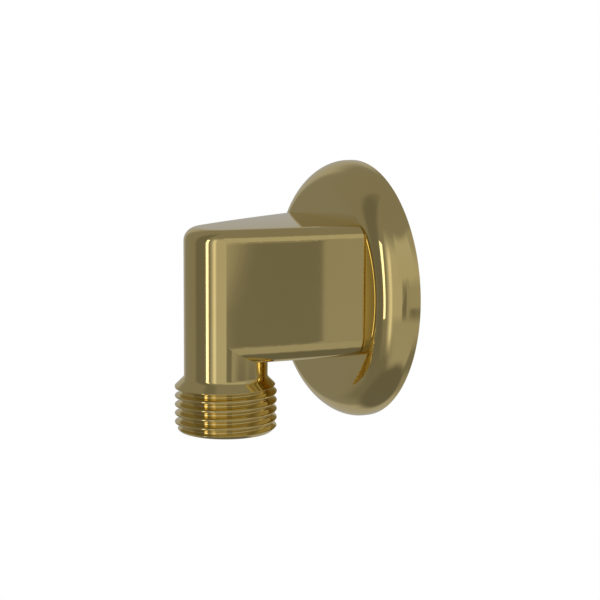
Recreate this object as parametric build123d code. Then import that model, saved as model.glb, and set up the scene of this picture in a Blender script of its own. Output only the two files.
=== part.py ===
from build123d import *
import math
import os

os.makedirs("parts", exist_ok=True)

# Wall outlet elbow in polished brass: a cast body and a round cover flange.
# Millimetres, +Z up. The wall is the plane Y = 0 and the fitting stands out from it along -Y.
# The supply pipe runs along the Y axis. The outlet column points straight down.

# Half inch parallel pipe thread: outside of the outlet, inside of the supply socket
thread_radius = 10.4775
socket_radius = 9.3155
thread_length = 9.2
thread_end_chamfer = 0.9

# Round column at the front of the body
column_radius = 8.58
column_reach = 29.9
column_foot_z = -16.5
collar_round = 1.2
outlet_bore_radius = 6.0
outlet_bore_chamfer = 0.6

# Block that widens from the column to the flange
block_rear_half_width = 17.65
block_front_top_z = 14.3
block_rear_top_z = 15.4
block_front_bottom_z = -13.4
block_rear_bottom_z = -11.8
side_crown_radius = 240.0
top_crown_radius = 300.0
top_edge_round = 2.8
bottom_edge_round = 4.2
seat_edge_break = 0.3

# Supply socket and the waterway that turns down to the outlet
boss_radius = 10.8
boss_wall_gap = 0.2
boss_edge_chamfer = 0.5
socket_depth = 15.0
socket_mouth_chamfer = 0.25
drill_point_angle = 31.0
waterway_radius = 5.5

# Cover flange
flange_radius = 27.0
flange_rim_edge = 1.05
flange_face_height = 7.4
flange_face_radius = 21.4
flange_shoulder_fullness = 0.46
flange_wall = 1.8
flange_foot_width = 1.6
flange_hole_clearance = 0.15

# The flange in section, filled: an upright rim, a soft shoulder and a flat face
shoulder_width = flange_radius - flange_face_radius
shoulder_rise = flange_face_height - flange_rim_edge
shoulder_points = [
    (flange_radius, -flange_rim_edge),
    (flange_radius, -flange_rim_edge - flange_shoulder_fullness * shoulder_rise),
    (flange_face_radius + flange_shoulder_fullness * shoulder_width, -flange_face_height),
    (flange_face_radius, -flange_face_height),
]
outer_lines = [
    Line((0, 0), (flange_radius, 0)),
    Line((flange_radius, 0), shoulder_points[0]),
    Bezier(*shoulder_points),
    Line(shoulder_points[3], (0, -flange_face_height)),
    Line((0, -flange_face_height), (0, 0)),
]
flange_form = revolve(make_face(outer_lines), Axis.Y)

# The hollow behind it, one wall thickness smaller
hollow_radius = flange_radius - flange_foot_width
hollow_depth = flange_face_height - flange_wall
hollow_width = hollow_radius - flange_face_radius
hollow_rise = hollow_depth - flange_rim_edge
hollow_points = [
    (hollow_radius, -flange_rim_edge),
    (hollow_radius, -flange_rim_edge - flange_shoulder_fullness * hollow_rise),
    (flange_face_radius + flange_shoulder_fullness * hollow_width, -hollow_depth),
    (flange_face_radius, -hollow_depth),
]
hollow_lines = [
    Line((0, 0), (hollow_radius, 0)),
    Line((hollow_radius, 0), hollow_points[0]),
    Bezier(*hollow_points),
    Line(hollow_points[3], (0, -hollow_depth)),
    Line((0, -hollow_depth), (0, 0)),
]
flange_hollow = revolve(make_face(hollow_lines), Axis.Y)
flange_hole_radius = boss_radius + flange_hole_clearance
flange_hole = extrude(Plane.XZ * Circle(flange_hole_radius), amount=flange_face_height, both=True)
wall_flange = flange_form - flange_hollow - flange_hole

# The block's plan: a straight back on the flange's face, and slightly crowned sides
# that run tangent into the column's circle
seat_y = -flange_face_height
seat_run = column_reach - flange_face_height
seat_span = math.hypot(seat_run, block_rear_half_width)
crown_offset = side_crown_radius - column_radius
crown_gap = side_crown_radius**2 - seat_span**2 - crown_offset**2
tangent_turn = math.acos(crown_gap / (2 * crown_offset * seat_span))
tangent_angle = math.atan2(block_rear_half_width, seat_run) + tangent_turn
tangent_x = column_radius * math.sin(tangent_angle)
tangent_y = -column_reach + column_radius * math.cos(tangent_angle)
front_y = -column_reach - column_radius

plan_lines = [
    Line((-block_rear_half_width, seat_y), (block_rear_half_width, seat_y)),
    RadiusArc((block_rear_half_width, seat_y), (tangent_x, tangent_y), side_crown_radius),
    ThreePointArc((tangent_x, tangent_y), (0, front_y), (-tangent_x, tangent_y)),
    RadiusArc((-tangent_x, tangent_y), (-block_rear_half_width, seat_y), side_crown_radius),
]
plan = make_face(plan_lines)

# The underside is one plane that rises towards the wall
bottom_slope = (block_rear_bottom_z - block_front_bottom_z) / (seat_y - tangent_y)
side_view_corners = [
    (front_y, block_rear_top_z),
    (seat_y, block_rear_top_z),
    (seat_y, block_rear_bottom_z),
    (front_y, block_front_bottom_z + bottom_slope * (front_y - tangent_y)),
]
side_view = Plane.YZ * make_face(Polyline(*side_view_corners, close=True))

# The top is crowned from side to side, like part of a very large barrel, and rises a little to the wall
top_angle = math.atan2(block_rear_top_z - block_front_top_z, seat_y - tangent_y)
barrel_centre = Vector(
    0,
    tangent_y + top_crown_radius * math.sin(top_angle),
    block_front_top_z - top_crown_radius * math.cos(top_angle),
)
barrel_direction = (0, math.cos(top_angle), math.sin(top_angle))
barrel_plane = Plane(origin=barrel_centre, x_dir=(1, 0, 0), z_dir=barrel_direction)
barrel = extrude(barrel_plane * Circle(top_crown_radius), amount=2 * column_reach, both=True)

tall = extrude(plan, amount=2 * column_reach, both=True)
wide = extrude(side_view, amount=2 * column_reach, both=True)
block = tall & wide & barrel

seat_edges = block.faces().sort_by(Axis.Y)[-1].edges()
top_edges = block.faces().sort_by(Axis.Z)[-1].edges() - seat_edges
block = fillet(top_edges, top_edge_round)
seat_edges = block.faces().sort_by(Axis.Y)[-1].edges()
bottom_edges = block.faces().sort_by(Axis.Z)[0].edges() - seat_edges
block = fillet(bottom_edges, bottom_edge_round)
block = fillet(block.faces().sort_by(Axis.Y)[-1].edges(), seat_edge_break)

# The column, turned as one profile: end chamfer, plain blank of the thread, collar sloped at
# 45 degrees, column
thread_top_z = column_foot_z - (thread_radius - column_radius)
thread_end_z = thread_top_z - thread_length
chamfer_radius = thread_radius - thread_end_chamfer
collar_run = collar_round * math.tan(math.radians(22.5))
collar_step = collar_run * math.sin(math.radians(45))
collar_low = (column_radius + collar_step, column_foot_z - collar_step)
collar_high = (column_radius, column_foot_z + collar_run)
turned_lines = [
    Line((0, 0), (0, thread_end_z)),
    Line((0, thread_end_z), (chamfer_radius, thread_end_z)),
    Line((chamfer_radius, thread_end_z), (thread_radius, thread_end_z + thread_end_chamfer)),
    Line((thread_radius, thread_end_z + thread_end_chamfer), (thread_radius, thread_top_z)),
    Line((thread_radius, thread_top_z), collar_low),
    RadiusArc(collar_low, collar_high, collar_round),
    Line(collar_high, (column_radius, 0)),
    Line((column_radius, 0), (0, 0)),
]
column_plane = Plane.XZ.offset(column_reach)
column_axis = Axis((0, -column_reach, 0), (0, 0, 1))
column = revolve(column_plane * make_face(turned_lines), column_axis)

# The boss that passes through the flange, a little short of the wall
boss_end_y = -boss_wall_gap
boss_length = flange_face_height + boss_edge_chamfer - boss_wall_gap
boss = extrude(Plane.XZ.offset(boss_wall_gap) * Circle(boss_radius), amount=boss_length)
boss = chamfer(boss.edges().sort_by(Axis.Y)[-1], boss_edge_chamfer)

# Supply socket with a drill point, level waterway, and the outlet bore with a round end that meets it
socket_mouth_radius = socket_radius + socket_mouth_chamfer
socket_mouth_y = boss_end_y - socket_mouth_chamfer
socket_floor_y = boss_end_y - socket_depth
drill_point = (socket_radius - waterway_radius) * math.tan(math.radians(drill_point_angle))
socket_lines = [
    Line((0, boss_end_y), (socket_mouth_radius, boss_end_y)),
    Line((socket_mouth_radius, boss_end_y), (socket_radius, socket_mouth_y)),
    Line((socket_radius, socket_mouth_y), (socket_radius, socket_floor_y)),
    Line((socket_radius, socket_floor_y), (waterway_radius, socket_floor_y - drill_point)),
    Line((waterway_radius, socket_floor_y - drill_point), (waterway_radius, -column_reach)),
    Line((waterway_radius, -column_reach), (0, -column_reach)),
    Line((0, -column_reach), (0, boss_end_y)),
]
socket = revolve(make_face(socket_lines), Axis.Y)
outlet_lines = [
    Line((0, outlet_bore_radius), (0, thread_end_z)),
    Line((0, thread_end_z), (outlet_bore_radius + outlet_bore_chamfer, thread_end_z)),
    Line(
        (outlet_bore_radius + outlet_bore_chamfer, thread_end_z),
        (outlet_bore_radius, thread_end_z + outlet_bore_chamfer),
    ),
    Line((outlet_bore_radius, thread_end_z + outlet_bore_chamfer), (outlet_bore_radius, 0)),
    RadiusArc((outlet_bore_radius, 0), (0, outlet_bore_radius), -outlet_bore_radius),
]
outlet = revolve(column_plane * make_face(outlet_lines), column_axis)

elbow_body = block + column + boss - socket - outlet

elbow_body.label = "elbow_body"
wall_flange.label = "wall_flange"
export_step(elbow_body, "parts/elbow_body.step")
export_step(wall_flange, "parts/wall_flange.step")
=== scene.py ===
import bpy
import bmesh
import math
from mathutils import Matrix, Vector


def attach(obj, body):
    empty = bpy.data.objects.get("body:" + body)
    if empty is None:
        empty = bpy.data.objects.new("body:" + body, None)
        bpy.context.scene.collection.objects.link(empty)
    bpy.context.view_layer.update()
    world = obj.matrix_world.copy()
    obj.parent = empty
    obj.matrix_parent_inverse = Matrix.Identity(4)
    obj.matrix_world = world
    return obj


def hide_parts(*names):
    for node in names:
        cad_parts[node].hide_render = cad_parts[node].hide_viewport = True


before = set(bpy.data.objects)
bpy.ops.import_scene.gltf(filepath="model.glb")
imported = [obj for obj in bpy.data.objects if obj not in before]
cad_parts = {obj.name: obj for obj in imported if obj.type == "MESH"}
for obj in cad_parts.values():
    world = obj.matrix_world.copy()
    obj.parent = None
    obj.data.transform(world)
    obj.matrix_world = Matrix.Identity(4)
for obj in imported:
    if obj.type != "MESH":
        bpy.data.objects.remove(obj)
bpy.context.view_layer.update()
scene = bpy.context.scene
scene.view_settings.view_transform = "Standard"
print("frame loaded:", ", ".join(sorted(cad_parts)))


# small helpers for node trees

def addNode(tree, kind, place, **values):
    node = tree.nodes.new(kind)
    node.location = place
    for name, value in values.items():
        setattr(node, name, value)
    return node


def setInputs(node, **values):
    for name, value in values.items():
        node.inputs[name.replace("_", " ")].default_value = value
    return node


def mathNode(tree, operation, place, first, second=None, third=None):
    node = addNode(tree, "ShaderNodeMath", place, operation=operation)
    for index, value in enumerate((first, second, third)):
        if value is None:
            continue
        if isinstance(value, (int, float)):
            node.inputs[index].default_value = value
        else:
            tree.links.new(value, node.inputs[index])
    return node.outputs[0]


def softStep(tree, value, low, high, place, outLow=0.0, outHigh=1.0):
    node = addNode(tree, "ShaderNodeMapRange", place, interpolation_type="SMOOTHSTEP")
    tree.links.new(value, node.inputs["Value"])
    node.inputs["From Min"].default_value = low
    node.inputs["From Max"].default_value = high
    node.inputs["To Min"].default_value = outLow
    node.inputs["To Max"].default_value = outHigh
    return node.outputs["Result"]


def newGroup(name, inputs, outputs):
    tree = bpy.data.node_groups.new(name, "ShaderNodeTree")
    for label, kind, value in inputs:
        socket = tree.interface.new_socket(label, in_out="INPUT", socket_type=kind)
        socket.default_value = value
    for label, kind in outputs:
        tree.interface.new_socket(label, in_out="OUTPUT", socket_type=kind)
    start = addNode(tree, "NodeGroupInput", (-1000, 0))
    end = addNode(tree, "NodeGroupOutput", (900, 0))
    return tree, start, end


def mixColours(tree, factor, first, second, place):
    node = addNode(tree, "ShaderNodeMix", place, data_type="RGBA")
    for index, value in ((0, factor), (6, first), (7, second)):
        if isinstance(value, (int, float, tuple)):
            node.inputs[index].default_value = value
        else:
            tree.links.new(value, node.inputs[index])
    return node.outputs[2]


# camera where the photographer stood

cameraSettings = {
    "place": (0.30441, -0.17031, 0.04875),
    "aim": (0.0098656, -0.018, -0.0001867),
    "roll": 0.36,
    "lens": 99.734,
    "sensor": 36.0,
    "nearest": 0.01,
    "farthest": 20.0,
}


def setCamera(settings):
    data = bpy.data.cameras.new("photoCamera")
    data.lens = settings["lens"]
    data.sensor_width = settings["sensor"]
    data.clip_start = settings["nearest"]
    data.clip_end = settings["farthest"]
    camera = bpy.data.objects.new("photoCamera", data)
    scene.collection.objects.link(camera)
    place = Vector(settings["place"])
    look = (Vector(settings["aim"]) - place).to_track_quat("-Z", "Y").to_matrix().to_4x4()
    turn = Matrix.Rotation(math.radians(settings["roll"]), 4, "Z")
    camera.matrix_world = Matrix.Translation(place) @ look @ turn
    scene.camera = camera


setCamera(cameraSettings)
print("camera set")


# studio: white world, pale floor, a light tent that the metal mirrors, one strip light

studioSettings = {
    "floorHeight": -0.90,  # the fitting hangs on a wall, about a metre up
    "floorSize": 12.0,
    "floorColour": (0.86, 0.855, 0.845, 1.0),
    "floorGlow": 0.985,  # share of the floor that is plain white to sight
    "worldDiffuse": 0.95,
    "tentRadius": 0.85,
    "tentCentre": (0.0, -0.02, 0.0),
    "tentBase": 0.27,
    "leanFrom": 9.0,  # a leaning edge is upright below this many degrees under the horizon
    "stripAzimuth": 13.5,
    "stripElevation": 6.5,
    "stripSize": (0.090, 0.60),
    "stripDistance": 0.70,
    "stripPower": 0.298,
}

# each tent panel: azimuth from, to, edge; elevation from, to, edge; level; lean of its left edge
tentPanels = {
    "backLeft": (-200.0, -80.0, 6.0, -70.0, 38.0, 10.0, 0.43, 0.0),
    "leftDark": (-24.0, 9.0, 7.0, -70.0, 75.0, 20.0, 0.18, 0.0),
    "frontLight": (25.0, 67.0, 3.0, -70.0, 38.0, 12.0, 0.52, 0.0),
    "frontCore": (30.5, 38.0, 3.0, -40.0, 30.0, 10.0, 0.90, 0.0),
    "rightLight": (83.0, 170.0, 1.0, -11.0, 46.0, 3.0, 0.38, 0.0),
    "upperLight": (56.0, 125.0, 4.0, 10.0, 46.0, 6.0, 0.50, 0.0),
    "rightDark": (97.0, 122.0, 6.0, -60.0, -11.0, 1.5, 0.21, 0.0),
    "rearLight": (128.0, 165.0, 8.0, -60.0, -11.0, 1.5, 0.22, 0.0),
    "lowLight": (40.0, 130.0, 6.0, -62.0, -19.0, 5.0, 0.40, 0.0),
    "cameraDark": (66.4, 82.5, 1.8, -18.0, 11.0, 6.0, 0.205, 0.85),
    "sideLight": (79.8, 90.0, 0.35, -20.0, 12.0, 4.0, 0.36, 0.0),
    "backRight": (160.0, 260.0, 14.0, -70.0, 38.0, 10.0, 0.43, 0.0),
    "frontShade": (-60.0, 40.0, 14.0, -100.0, -38.0, 14.0, 0.20, 0.0),
    "groundShade": (-200.0, 200.0, 5.0, -100.0, -60.0, 6.0, 0.16, 0.0),
}


def directionOf(azimuth, elevation):
    a, e = math.radians(azimuth), math.radians(elevation)
    return Vector((math.sin(a) * math.cos(e), -math.cos(a) * math.cos(e), math.sin(e)))


def whiteToSight(tree, place):
    path = addNode(tree, "ShaderNodeLightPath", place)
    x, y = place
    camera, glossy = path.outputs["Is Camera Ray"], path.outputs["Is Glossy Ray"]
    seen = mathNode(tree, "MAXIMUM", (x + 200, y), camera, glossy)
    return mathNode(tree, "MAXIMUM", (x + 400, y), seen, path.outputs["Is Transmission Ray"])


def makeWorld(settings):
    world = bpy.data.worlds.new("whiteSurround")
    scene.world = world
    world.use_nodes = True
    tree = world.node_tree
    tree.nodes.clear()
    out = addNode(tree, "ShaderNodeOutputWorld", (900, 0))
    sight = addNode(tree, "ShaderNodeBackground", (500, 120))
    sight.inputs["Color"].default_value = (1, 1, 1, 1)
    sight.inputs["Strength"].default_value = 1.0
    light = addNode(tree, "ShaderNodeBackground", (500, -120))
    light.inputs["Color"].default_value = (1, 1, 1, 1)
    light.inputs["Strength"].default_value = settings["worldDiffuse"]
    mix = addNode(tree, "ShaderNodeMixShader", (700, 0))
    tree.links.new(whiteToSight(tree, (-200, 0)), mix.inputs[0])
    tree.links.new(light.outputs[0], mix.inputs[1])
    tree.links.new(sight.outputs[0], mix.inputs[2])
    tree.links.new(mix.outputs[0], out.inputs["Surface"])


def makeFloor(settings):
    mesh = bpy.data.meshes.new("studioFloor")
    build = bmesh.new()
    bmesh.ops.create_grid(build, x_segments=8, y_segments=8, size=settings["floorSize"])
    bmesh.ops.translate(build, verts=build.verts, vec=(0, 0, settings["floorHeight"]))
    build.to_mesh(mesh)
    build.free()
    floor = bpy.data.objects.new("studioFloor", mesh)
    scene.collection.objects.link(floor)
    material = bpy.data.materials.new("paleFloor")
    material.use_nodes = True
    tree = material.node_tree
    tree.nodes.clear()
    out = addNode(tree, "ShaderNodeOutputMaterial", (900, 0))
    matte = addNode(tree, "ShaderNodeBsdfDiffuse", (300, -120))
    matte.inputs["Color"].default_value = settings["floorColour"]
    glow = addNode(tree, "ShaderNodeEmission", (300, 120))
    glow.inputs["Color"].default_value = (1, 1, 1, 1)
    mix = addNode(tree, "ShaderNodeMixShader", (600, 0))
    share = mathNode(tree, "MULTIPLY", (200, 300), whiteToSight(tree, (-500, 300)), settings["floorGlow"])
    tree.links.new(share, mix.inputs[0])
    tree.links.new(matte.outputs[0], mix.inputs[1])
    tree.links.new(glow.outputs[0], mix.inputs[2])
    tree.links.new(mix.outputs[0], out.inputs["Surface"])
    floor.data.materials.append(material)


def makeTent(settings, panels):
    mesh = bpy.data.meshes.new("lightTent")
    build = bmesh.new()
    bmesh.ops.create_uvsphere(build, u_segments=96, v_segments=48, radius=settings["tentRadius"])
    build.to_mesh(mesh)
    build.free()
    tent = bpy.data.objects.new("lightTent", mesh)
    tent.location = settings["tentCentre"]
    scene.collection.objects.link(tent)
    material = bpy.data.materials.new("tentCloth")
    material.use_nodes = True
    tree = material.node_tree
    tree.nodes.clear()
    out = addNode(tree, "ShaderNodeOutputMaterial", (2600, 0))
    glow = addNode(tree, "ShaderNodeEmission", (2400, 0))
    where = addNode(tree, "ShaderNodeTexCoord", (-1400, 0))
    split = addNode(tree, "ShaderNodeSeparateXYZ", (-1200, 0))
    tree.links.new(where.outputs["Object"], split.inputs[0])
    front = mathNode(tree, "MULTIPLY", (-1000, -100), split.outputs["Y"], -1.0)
    around = mathNode(tree, "ARCTAN2", (-800, 100), split.outputs["X"], front)
    azimuth = mathNode(tree, "DEGREES", (-600, 100), around)
    rise = mathNode(tree, "DIVIDE", (-1000, -300), split.outputs["Z"], settings["tentRadius"])
    upward = mathNode(tree, "ARCSINE", (-800, -300), rise)
    elevation = mathNode(tree, "DEGREES", (-600, -300), upward)
    level = settings["tentBase"]
    for count, panel in enumerate(panels.values()):
        left, right, sideEdge, low, high, endEdge, brightness, lean = panel
        row = -220 * count
        across = azimuth
        if lean:
            raised = mathNode(tree, "ADD", (-550, row), elevation, settings["leanFrom"])
            above = mathNode(tree, "MAXIMUM", (-500, row), raised, 0.0)
            across = mathNode(tree, "MULTIPLY_ADD", (-400, row), above, -lean, azimuth)
        a = softStep(tree, across, left - sideEdge, left + sideEdge, (-300, row))
        b = softStep(tree, azimuth, right - sideEdge, right + sideEdge, (-100, row), 1.0, 0.0)
        c = softStep(tree, elevation, low - endEdge, low + endEdge, (100, row))
        d = softStep(tree, elevation, high - endEdge, high + endEdge, (300, row), 1.0, 0.0)
        wide = mathNode(tree, "MULTIPLY", (500, row), a, b)
        tall = mathNode(tree, "MULTIPLY", (700, row), c, d)
        mask = mathNode(tree, "MULTIPLY", (900, row), wide, tall)
        blend = addNode(tree, "ShaderNodeMix", (1200 + 100 * count, row), data_type="FLOAT")
        tree.links.new(mask, blend.inputs[0])
        if isinstance(level, float):
            blend.inputs[2].default_value = level
        else:
            tree.links.new(level, blend.inputs[2])
        blend.inputs[3].default_value = brightness
        level = blend.outputs[0]
    tree.links.new(level, glow.inputs["Strength"])
    tree.links.new(glow.outputs[0], out.inputs["Surface"])
    tent.data.materials.append(material)
    tent.visible_camera = False
    tent.visible_diffuse = False
    tent.visible_shadow = False


def makeStrip(settings):
    data = bpy.data.lights.new("stripLight", "AREA")
    data.shape = "RECTANGLE"
    data.size, data.size_y = settings["stripSize"]
    data.energy = settings["stripPower"]
    strip = bpy.data.objects.new("stripLight", data)
    away = directionOf(settings["stripAzimuth"], settings["stripElevation"])
    strip.location = Vector(settings["tentCentre"]) + away * settings["stripDistance"]
    strip.rotation_mode = "QUATERNION"
    strip.rotation_quaternion = (-away).to_track_quat("-Z", "Y")
    strip.visible_camera = False
    scene.collection.objects.link(strip)


makeWorld(studioSettings)
makeFloor(studioSettings)
makeTent(studioSettings, tentPanels)
makeStrip(studioSettings)
print("studio ready")


# brass finishes

brassSettings = {
    "bright": (0.78, 0.625, 0.27, 1.0),
    "deep": (0.72, 0.555, 0.215, 1.0),
    # dark brass: painted shade in the thread roots, and the darker tone of the satin bores
    "darkBrass": (0.45, 0.33, 0.125, 1.0),
    "polishRough": 0.035,
    "threadRough": 0.22,
    "boreRough": 0.34,
    "polishBump": 0.018,
    "threadBump": 0.06,
    "boreBump": 0.25,
    "outletAxis": 0.0299,  # the outlet stands this far in front of the wall
    "rootShade": (0.00935, 0.01025, 0.9),  # radius from, to; share of the painted shade in the thread roots
}


def makeBrassTone():
    tree, start, end = newGroup(
        "brassTone",
        [("Bright", "NodeSocketColor", brassSettings["bright"]),
         ("Deep", "NodeSocketColor", brassSettings["deep"]),
         ("Cloud Size", "NodeSocketFloat", 60.0), ("Amount", "NodeSocketFloat", 0.5)],
        [("Colour", "NodeSocketColor")])
    where = addNode(tree, "ShaderNodeTexCoord", (-1000, 300))
    cloud = addNode(tree, "ShaderNodeTexNoise", (-700, 200))
    cloud.inputs["Detail"].default_value = 4.0
    cloud.inputs["Roughness"].default_value = 0.55
    tree.links.new(where.outputs["Object"], cloud.inputs["Vector"])
    tree.links.new(start.outputs["Cloud Size"], cloud.inputs["Scale"])
    spread = softStep(tree, cloud.outputs["Fac"], 0.35, 0.68, (-450, 200))
    share = mathNode(tree, "MULTIPLY", (-200, 200), spread, start.outputs["Amount"])
    colour = mixColours(tree, share, start.outputs["Bright"], start.outputs["Deep"], (100, 100))
    tree.links.new(colour, end.inputs["Colour"])
    return tree


def makePolishMarks():
    tree, start, end = newGroup(
        "polishMarks",
        [("Rough", "NodeSocketFloat", 0.06), ("Rough Range", "NodeSocketFloat", 0.03),
         ("Scratch Size", "NodeSocketFloat", 900.0), ("Wave Size", "NodeSocketFloat", 90.0),
         ("Direction", "NodeSocketVector", (1.0, 1.0, 14.0))],
        [("Roughness", "NodeSocketFloat"), ("Height", "NodeSocketFloat")])
    where = addNode(tree, "ShaderNodeTexCoord", (-1000, 300))
    stretch = addNode(tree, "ShaderNodeVectorMath", (-800, 300), operation="MULTIPLY")
    tree.links.new(where.outputs["Object"], stretch.inputs[0])
    tree.links.new(start.outputs["Direction"], stretch.inputs[1])
    scratch = addNode(tree, "ShaderNodeTexNoise", (-550, 300))
    scratch.inputs["Detail"].default_value = 6.0
    scratch.inputs["Roughness"].default_value = 0.7
    tree.links.new(stretch.outputs[0], scratch.inputs["Vector"])
    tree.links.new(start.outputs["Scratch Size"], scratch.inputs["Scale"])
    swell = addNode(tree, "ShaderNodeTexNoise", (-550, 0))
    swell.inputs["Detail"].default_value = 1.5
    tree.links.new(where.outputs["Object"], swell.inputs["Vector"])
    tree.links.new(start.outputs["Wave Size"], swell.inputs["Scale"])
    fine = softStep(tree, scratch.outputs["Fac"], 0.3, 0.75, (-300, 300))
    added = mathNode(tree, "MULTIPLY", (0, 300), fine, start.outputs["Rough Range"])
    rough = mathNode(tree, "ADD", (250, 300), added, start.outputs["Rough"])
    fineHeight = mathNode(tree, "MULTIPLY", (0, 0), scratch.outputs["Fac"], 0.02)
    height = mathNode(tree, "ADD", (250, 0), fineHeight, swell.outputs["Fac"])
    tree.links.new(rough, end.inputs["Roughness"])
    tree.links.new(height, end.inputs["Height"])
    return tree


brassTone = makeBrassTone()
polishMarks = makePolishMarks()


def groupNode(tree, group, place, **values):
    node = addNode(tree, "ShaderNodeGroup", place)
    node.node_tree = group
    setInputs(node, **values)
    return node


def startMaterial(name):
    material = bpy.data.materials.new(name)
    material.use_nodes = True
    tree = material.node_tree
    tree.nodes.clear()
    out = addNode(tree, "ShaderNodeOutputMaterial", (900, 0))
    shader = addNode(tree, "ShaderNodeBsdfPrincipled", (600, 0))
    tree.links.new(shader.outputs[0], out.inputs["Surface"])
    shader.inputs["Metallic"].default_value = 1.0
    return material, tree, shader


def polishedBrass(name, direction):
    material, tree, shader = startMaterial(name)
    tone = groupNode(tree, brassTone, (0, 200), Cloud_Size=55.0, Amount=0.35)
    marks = groupNode(tree, polishMarks, (0, -200), Rough=brassSettings["polishRough"], Rough_Range=0.03,
                      Scratch_Size=700.0, Wave_Size=110.0, Direction=direction)
    bump = addNode(tree, "ShaderNodeBump", (300, -300))
    bump.inputs["Strength"].default_value = brassSettings["polishBump"]
    bump.inputs["Distance"].default_value = 0.0002
    tree.links.new(marks.outputs["Height"], bump.inputs["Height"])
    tree.links.new(tone.outputs["Colour"], shader.inputs["Base Color"])
    tree.links.new(marks.outputs["Roughness"], shader.inputs["Roughness"])
    tree.links.new(bump.outputs[0], shader.inputs["Normal"])
    return material


def threadBrass():
    material, tree, shader = startMaterial("threadBrass")
    tone = groupNode(tree, brassTone, (-300, 300), Cloud_Size=120.0, Amount=0.6)
    marks = groupNode(tree, polishMarks, (0, -200), Rough=brassSettings["threadRough"], Rough_Range=0.12,
                      Scratch_Size=900.0, Wave_Size=400.0, Direction=(1.0, 1.0, 10.0))
    where = addNode(tree, "ShaderNodeTexCoord", (-900, 0))
    split = addNode(tree, "ShaderNodeSeparateXYZ", (-700, 0))
    tree.links.new(where.outputs["Object"], split.inputs[0])
    along = mathNode(tree, "ADD", (-500, -60), split.outputs["Y"], brassSettings["outletAxis"])
    square = mathNode(tree, "MULTIPLY", (-500, 60), split.outputs["X"], split.outputs["X"])
    sums = mathNode(tree, "MULTIPLY_ADD", (-300, 0), along, along, square)
    radius = mathNode(tree, "SQRT", (-150, 0), sums)
    # painted shade in the thread roots: the dark brass is mixed in by radius from the outlet axis
    deepest, shadeEndRadius, most = brassSettings["rootShade"]
    root = softStep(tree, radius, deepest, shadeEndRadius, (0, 60), most, 0.0)  # painted shade: the thread roots are made darker
    colour = mixColours(tree, root, tone.outputs["Colour"], brassSettings["darkBrass"], (250, 200))
    bump = addNode(tree, "ShaderNodeBump", (300, -300))
    bump.inputs["Strength"].default_value = brassSettings["threadBump"]
    bump.inputs["Distance"].default_value = 0.0001
    tree.links.new(marks.outputs["Height"], bump.inputs["Height"])
    tree.links.new(colour, shader.inputs["Base Color"])
    tree.links.new(marks.outputs["Roughness"], shader.inputs["Roughness"])
    tree.links.new(bump.outputs[0], shader.inputs["Normal"])
    return material


def boreBrass():
    material, tree, shader = startMaterial("boreBrass")
    tone = groupNode(tree, brassTone, (0, 200), Bright=brassSettings["deep"], Deep=brassSettings["darkBrass"],
                     Cloud_Size=140.0, Amount=0.9)
    marks = groupNode(tree, polishMarks, (0, -200), Rough=brassSettings["boreRough"], Rough_Range=0.18,
                      Scratch_Size=500.0, Wave_Size=700.0, Direction=(3.0, 3.0, 3.0))
    bump = addNode(tree, "ShaderNodeBump", (300, -300))
    bump.inputs["Strength"].default_value = brassSettings["boreBump"]
    bump.inputs["Distance"].default_value = 0.0001
    tree.links.new(marks.outputs["Height"], bump.inputs["Height"])
    tree.links.new(tone.outputs["Colour"], shader.inputs["Base Color"])
    tree.links.new(marks.outputs["Roughness"], shader.inputs["Roughness"])
    tree.links.new(bump.outputs[0], shader.inputs["Normal"])
    return material


bodyPolish = polishedBrass("bodyPolish", (1.0, 1.0, 9.0))
flangePolish = polishedBrass("flangePolish", (5.0, 1.0, 5.0))
threadFinish = threadBrass()
boreFinish = boreBrass()
print("brass finishes ready")


# elbow body: the CAD form, with the plain thread blank exchanged for a real screw thread

threadSettings = {
    "axisY": -0.0299,
    "columnRadius": 0.00858,
    "collarTopZ": -0.016003,  # where the collar's hollow round leaves the column
    "collarRound": 0.0012,
    "crestRadius": 0.010475,
    "rootRadius": 0.0093155,
    "pitch": 0.001814,
    "topZ": -0.0183975,
    "endZ": -0.0275975,
    "endChamfer": 0.0009,
    "boreEdge": 0.0066,
    "startTurn": 115.0,  # the groove leaves the collar at the back
    "fadeTurn": 40.0,
    "edgeRound": 0.000249,
    "socketRadius": 0.0093155,
    "socketMouthY": -0.00045,
    "socketThreadEndY": -0.0128,
    "socketFloorY": -0.0152,
    "socketCut": 0.8,  # share of the full thread depth
    "socketFadeIn": 0.0012,
    "socketFadeOut": 0.0018,
    "collarDrop": 0.00085,  # height of the hollow round
    "collarSteps": 10,
    "slopeSteps": 24,
    "around": 240,
    "rowsPerPitch": 28,
    "socketRowsPerPitch": 16,
    "satinOutlet": (0.00665, 0.0062),  # satin inside this radius, below this height
    "satinPipe": (0.0098, -0.0305),  # satin inside this radius, behind this y
    "satinBoss": (0.0112, -0.00735),
    "near": 2e-5,  # how close a loop lies to its plane
}


def collarRadius(settings, z):
    column, hollow = settings["columnRadius"], settings["collarRound"]
    down = settings["collarTopZ"] - z
    if down < hollow * math.sin(math.radians(45)):
        return column + hollow - math.sqrt(max(0.0, hollow ** 2 - down ** 2))
    return settings["crestRadius"] - (z - settings["topZ"])


def threadDepth(settings, offset):
    pitch, edge = settings["pitch"], settings["edgeRound"]
    full = settings["crestRadius"] - settings["rootRadius"]
    fromRoot = abs((offset + pitch / 2) % pitch - pitch / 2)
    fromCrest = pitch / 2 - fromRoot
    reach = edge * math.cos(math.radians(27.5))
    drop = edge - math.sqrt(edge ** 2 - reach ** 2)
    if fromCrest <= reach:
        return edge - math.sqrt(edge ** 2 - fromCrest ** 2)
    if fromRoot <= reach:
        return full - edge + math.sqrt(edge ** 2 - fromRoot ** 2)
    share = (fromCrest - reach) / (pitch / 2 - 2 * reach)
    return drop + share * (full - 2 * drop)


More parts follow.
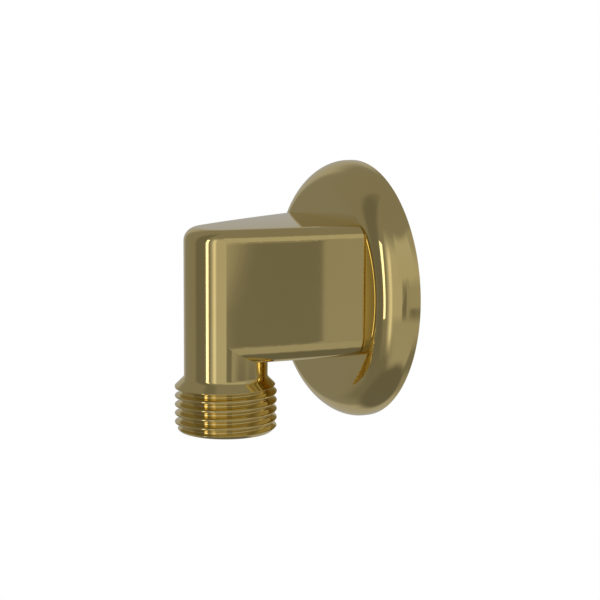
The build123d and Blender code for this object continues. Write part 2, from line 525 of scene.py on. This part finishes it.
def threadRadius(settings, z, turn):
    pitch, crest = settings["pitch"], settings["crestRadius"]
    outer = collarRadius(settings, z) if z > settings["topZ"] else crest
    outer = min(outer, crest - settings["endChamfer"] + (z - settings["endZ"]))
    behind = (settings["startTurn"] - turn) % 360.0
    below = settings["topZ"] - pitch * behind / 360.0 - z  # distance under the first root
    if below < -pitch / 2:
        return outer
    depth = threadDepth(settings, below)
    if below < pitch / 2:
        fade = min(1.0, behind / settings["fadeTurn"])
        depth *= fade * fade * (3 - 2 * fade)
    return min(outer, crest - depth)


def socketRadius(settings, y, turn):
    inward = settings["socketMouthY"] - y
    left = max(0.0, (y - settings["socketThreadEndY"]) / settings["socketFadeOut"])
    ease = min(1.0, inward / settings["socketFadeIn"], left)
    depth = threadDepth(settings, inward - settings["pitch"] * turn / 360.0)
    return settings["socketRadius"] + settings["socketCut"] * ease * depth


def boundaryLoop(build, isOn):
    return [e for e in build.edges if e.is_boundary and all(isOn(v.co) for v in e.verts)]


def gridRings(build, rows, turns, placeOf):
    rings = [[build.verts.new(placeOf(row, turn)) for turn in turns] for row in rows]
    faces = []
    for upper, lower in zip(rings, rings[1:]):
        for i in range(len(turns)):
            j = (i + 1) % len(turns)
            faces.append(build.faces.new((upper[i], lower[i], lower[j], upper[j])))
    ends = []
    for ring in (rings[0], rings[-1]):
        ends.append([build.edges.get((ring[i], ring[(i + 1) % len(turns)])) for i in range(len(turns))])
    return faces, ends[0], ends[1]


def threadRows(settings):
    rows = []
    collar, steps = settings["collarSteps"], settings["slopeSteps"]
    for step in range(1, collar):
        rows.append(settings["collarTopZ"] - settings["collarDrop"] * step / collar)
    slope = settings["collarTopZ"] - settings["collarDrop"]
    for step in range(steps):
        rows.append(slope + (settings["topZ"] - slope) * step / steps)
    height = settings["topZ"] - settings["endZ"]
    count = int(round(height / settings["pitch"] * settings["rowsPerPitch"]))
    for step in range(count + 1):
        rows.append(settings["topZ"] - height * step / count)
    return rows


def socketRows(settings):
    mouth, end = settings["socketMouthY"], settings["socketThreadEndY"]
    count = int(round((mouth - end) / settings["pitch"] * settings["socketRowsPerPitch"]))
    rows = [mouth - (mouth - end) * (step + 0.5) / count for step in range(count)]
    return rows + [end - 0.0001, settings["socketFloorY"] + 0.0002]  # plain wall behind the thread


def makeElbow(settings):
    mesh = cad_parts["elbow_body"].data.copy()
    mesh.name = "elbowBody"
    normals = [tuple(n.vector) for n in mesh.corner_normals]
    build = bmesh.new()
    build.from_mesh(mesh)
    kept = build.loops.layers.float_vector.new("keptNormal")
    count = 0
    for face in build.faces:
        for loop in face.loops:
            loop[kept] = normals[count]
            count += 1
    bmesh.ops.remove_doubles(build, verts=build.verts, dist=1e-7)
    axisY = settings["axisY"]
    blank = []
    for face in build.faces:
        centre = face.calc_center_median()
        fromAxis = math.hypot(centre.x, centre.y - axisY)
        if centre.z < settings["collarTopZ"] - 1e-6 and fromAxis > settings["boreEdge"] + 1e-5:
            blank.append(face)
        elif all(abs(math.hypot(v.co.x, v.co.z) - settings["socketRadius"]) < 5e-5 for v in face.verts):
            blank.append(face)  # plain wall of the socket
    bmesh.ops.delete(build, geom=blank, context="FACES")
    for face in build.faces:
        centre = face.calc_center_median()
        fromColumn = math.hypot(centre.x, centre.y - axisY)
        fromPipe = math.hypot(centre.x, centre.z)
        inColumn = fromColumn < settings["satinOutlet"][0] and centre.z < settings["satinOutlet"][1]
        inPipe = fromPipe < settings["satinPipe"][0] and centre.y > settings["satinPipe"][1]
        boss = fromPipe < settings["satinBoss"][0] and centre.y > settings["satinBoss"][1]
        face.material_index = 2 if inColumn or inPipe or boss else 0
    turns = [360.0 * i / settings["around"] - 180.0 for i in range(settings["around"])]

    def onOutlet(row, turn):
        radius, a = threadRadius(settings, row, turn), math.radians(turn)
        return (radius * math.cos(a), axisY + radius * math.sin(a), row)

    def onSocket(row, turn):
        radius, a = socketRadius(settings, row, turn), math.radians(turn)
        return (radius * math.cos(a), row, radius * math.sin(a))

    topLoop = boundaryLoop(build, lambda p: abs(p.z - settings["collarTopZ"]) < settings["near"])
    boreLoop = boundaryLoop(build, lambda p: abs(p.z - settings["endZ"]) < settings["near"])
    mouthLoop = boundaryLoop(build, lambda p: abs(p.y - settings["socketMouthY"]) < settings["near"])
    floorLoop = boundaryLoop(build, lambda p: abs(p.y - settings["socketFloorY"]) < settings["near"])
    fresh, firstRing, lastRing = gridRings(build, threadRows(settings), turns, onOutlet)
    inside, mouthRing, floorRing = gridRings(build, socketRows(settings), turns, onSocket)
    collar = bmesh.ops.bridge_loops(build, edges=topLoop + firstRing)["faces"]
    endFace = bmesh.ops.bridge_loops(build, edges=boreLoop + lastRing)["faces"]
    inside += bmesh.ops.bridge_loops(build, edges=mouthLoop + mouthRing)["faces"]
    inside += bmesh.ops.bridge_loops(build, edges=floorLoop + floorRing)["faces"]
    for face in fresh + collar + endFace:
        face.material_index = 1 if face.calc_center_median().z < settings["topZ"] + 0.0001 else 0
        face.smooth = True
    for face in inside:
        face.material_index = 1
        face.smooth = True
    for edge in lastRing + boreLoop:
        edge.smooth = False
    bmesh.ops.recalc_face_normals(build, faces=build.faces)
    print("outlet faces", len(fresh), "socket faces", len(inside), "collar", len(collar),
          "end", len(endFace), "open edges", sum(e.is_boundary for e in build.edges))
    build.to_mesh(mesh)
    build.free()
    layer = mesh.attributes["keptNormal"]
    customs = [tuple(item.vector) for item in layer.data]
    mesh.attributes.remove(layer)
    mesh.normals_split_custom_set(customs)
    mesh.materials.clear()
    for material in (bodyPolish, threadFinish, boreFinish):
        mesh.materials.append(material)
    elbow = bpy.data.objects.new("elbowBody", mesh)
    scene.collection.objects.link(elbow)
    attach(elbow, "root")
    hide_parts("elbow_body")
    return elbow


elbow = makeElbow(threadSettings)
print("elbow body ready:", len(elbow.data.polygons), "faces")


# cover flange: turned from the CAD section, polished outside and left satin behind

flangeSettings = {
    "radius": 0.027,
    "rimEdge": 0.00105,
    "faceHeight": 0.0074,
    "faceRadius": 0.0214,
    "fullness": 0.46,
    "wall": 0.0018,
    "footWidth": 0.0016,
    "holeRadius": 0.01095,
    "faceRings": (0.0175, 0.014),  # extra rings across the flat face
    "around": 288,
    "steps": 40,
}


def shoulderCurve(settings, rim, height):
    face, full, edge = settings["faceRadius"], settings["fullness"], settings["rimEdge"]
    points = [(rim, -edge), (rim, -edge - full * (height - edge)),
              (face + full * (rim - face), -height), (face, -height)]
    curve = []
    for step in range(settings["steps"] + 1):
        t = step / settings["steps"]
        weights = ((1 - t) ** 3, 3 * t * (1 - t) ** 2, 3 * t * t * (1 - t), t ** 3)
        curve.append(tuple(sum(w * p[i] for w, p in zip(weights, points)) for i in (0, 1)))
    return curve


def makeFlange(settings):
    rim, height, hole = settings["radius"], settings["faceHeight"], settings["holeRadius"]
    depth = height - settings["wall"]
    foot = rim - settings["footWidth"]
    wide, narrow = settings["faceRings"]
    outside = [(rim, -0.0)] + shoulderCurve(settings, rim, height)
    outside += [(wide, -height), (narrow, -height), (hole, -height)]
    behind = [(hole, -depth), (narrow, -depth), (wide, -depth)]
    behind += shoulderCurve(settings, foot, depth)[::-1] + [(foot, 0.0)]
    section = outside + behind
    corners = {0, len(outside) - 1, len(outside), len(section) - 1}
    build = bmesh.new()
    rings = []
    for radius, y in section:
        ring = []
        for i in range(settings["around"]):
            a = 2 * math.pi * i / settings["around"]
            ring.append(build.verts.new((radius * math.cos(a), y, radius * math.sin(a))))
        rings.append(ring)
    for index, ring in enumerate(rings):
        after = rings[(index + 1) % len(rings)]
        for i in range(len(ring)):
            j = (i + 1) % len(ring)
            face = build.faces.new((ring[i], ring[j], after[j], after[i]))
            face.smooth = True
            face.material_index = 0 if index < len(outside) - 1 else 1
    for index in corners:
        for i in range(len(rings[index])):
            build.edges.get((rings[index][i], rings[index][(i + 1) % len(rings[index])])).smooth = False
    bmesh.ops.recalc_face_normals(build, faces=build.faces)
    mesh = bpy.data.meshes.new("coverFlange")
    build.to_mesh(mesh)
    build.free()
    mesh.materials.append(flangePolish)
    mesh.materials.append(boreFinish)
    flange = bpy.data.objects.new("coverFlange", mesh)
    scene.collection.objects.link(flange)
    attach(flange, "root")
    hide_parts("wall_flange")


makeFlange(flangeSettings)
print("flange ready")

bpy.context.view_layer.update()
